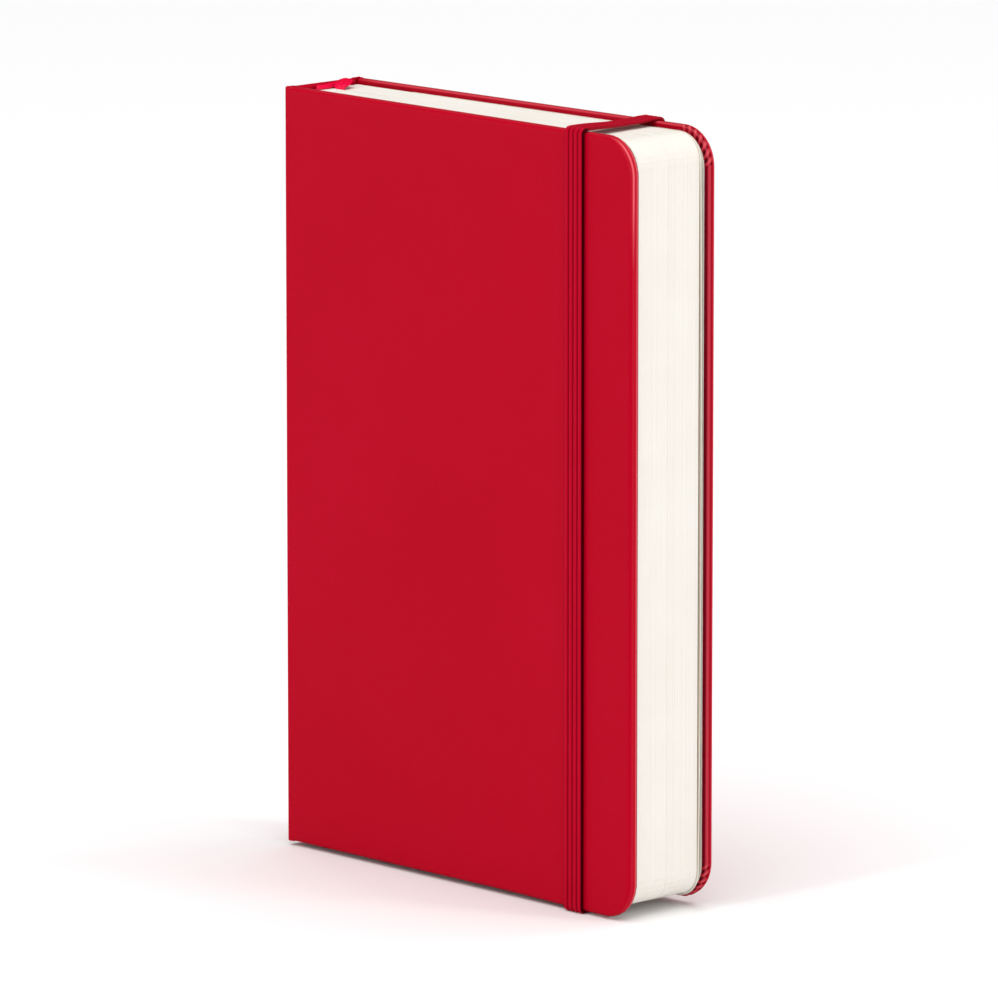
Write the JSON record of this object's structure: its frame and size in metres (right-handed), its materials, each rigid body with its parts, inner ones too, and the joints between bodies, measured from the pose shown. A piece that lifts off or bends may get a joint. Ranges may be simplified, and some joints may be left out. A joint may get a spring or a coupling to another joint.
{
  "type": "pocket notebook",
  "caption": "Upright hard-cover pocket notebook with sewn ivory leaves, ribbon marker, back pocket and an elastic band that holds it shut.",
  "frame": {"origin": "below the middle of the whole notebook, on the surface that it stands on", "axes": "+X from spine to fore-edge, +Y from front cover to back cover, +Z from tail to head"},
  "size_m": [0.09, 0.022, 0.1416],
  "materials": {
    "cover": "smooth semi-gloss crimson leatherette, rounded edges",
    "board": "grey pulp board",
    "endpaper": "plain ivory endpaper, matt",
    "leaves": "ivory writing paper, cut edges",
    "cloth": "thin woven bookbinding cloth",
    "thread": "waxed white thread",
    "ribbon": "bright red satin",
    "elastic": "ribbed woven crimson elastic"
  },
  "bodies": {
    "book_block": {"spine_skin": "cover", "spine_board": "board", "spine_lining": "cloth", "sewing_thread": "thread", "sewn_folds": "leaves", "signature_06": "leaves", "signature_07": "leaves", "signature_08": "leaves", "signature_09": "leaves", "signature_10": "leaves", "ribbon_marker": "ribbon"},
    "front_cover": {"front_skin": "cover", "front_board": "board", "front_pastedown": "endpaper"},
    "front_flyleaf": {"front_flyleaf": "endpaper"},
    "front_leaves": {"signature_01": "leaves", "signature_02": "leaves", "signature_03": "leaves", "signature_04": "leaves", "signature_05": "leaves"},
    "back_cover": {"back_skin": "cover", "back_board": "board", "back_pastedown": "endpaper", "band_end_top": "elastic", "band_end_bottom": "elastic", "pocket_back": "endpaper", "pocket_gusset_top": "cloth", "pocket_gusset_bottom": "cloth"},
    "pocket_panel": {"pocket_panel": "endpaper"},
    "back_flyleaf": {"back_flyleaf": "endpaper"},
    "elastic_band": {"elastic_band": "elastic"}
  },
  "joints": [
    {"name": "front_cover_hinge", "type": "hinge", "parent": "book_block", "child": "front_cover", "pos_m": [-0.0448, -0.01005, 0.07], "axis": [0, 0, -1], "range_deg": [0, 178]},
    {"name": "front_flyleaf_turn", "type": "hinge", "parent": "book_block", "child": "front_flyleaf", "pos_m": [-0.038, -0.00812, 0.07], "axis": [0, 0, -1], "range_deg": [0, 145]},
    {"name": "front_leaves_turn", "type": "hinge", "parent": "book_block", "child": "front_leaves", "pos_m": [-0.038, -0.008, 0.07], "axis": [0, 0, -1], "range_deg": [0, 127]},
    {"name": "back_cover_hinge", "type": "hinge", "parent": "book_block", "child": "back_cover", "pos_m": [-0.0448, 0.00785, 0.07], "axis": [0, 0, 1], "range_deg": [0, 178]},
    {"name": "back_flyleaf_turn", "type": "hinge", "parent": "book_block", "child": "back_flyleaf", "pos_m": [-0.038, 0.00541, 0.07], "axis": [0, 0, 1], "range_deg": [0, 135]},
    {"name": "pocket_open", "type": "hinge", "parent": "back_cover", "child": "pocket_panel", "pos_m": [0.04402, 0.00838, 0.07], "axis": [0, 0, 1], "range_deg": [0, 11]},
    {"name": "band_swing", "type": "hinge", "parent": "back_cover", "child": "elastic_band", "pos_m": [0.0317, 0.0106, 0.07], "axis": [0, 0, 1], "range_deg": [0, 180], "deforming": ["elastic_band"]}
  ],
  "couplings": [
    {"joint": "front_flyleaf_turn", "follows": "front_cover_hinge", "ratio": 0.8},
    {"joint": "front_leaves_turn", "follows": "front_cover_hinge", "ratio": 0.7},
    {"joint": "back_flyleaf_turn", "follows": "back_cover_hinge", "ratio": 0.75},
    {"joint": "pocket_open", "follows": "back_cover_hinge", "ratio": 0.06}
  ]
}
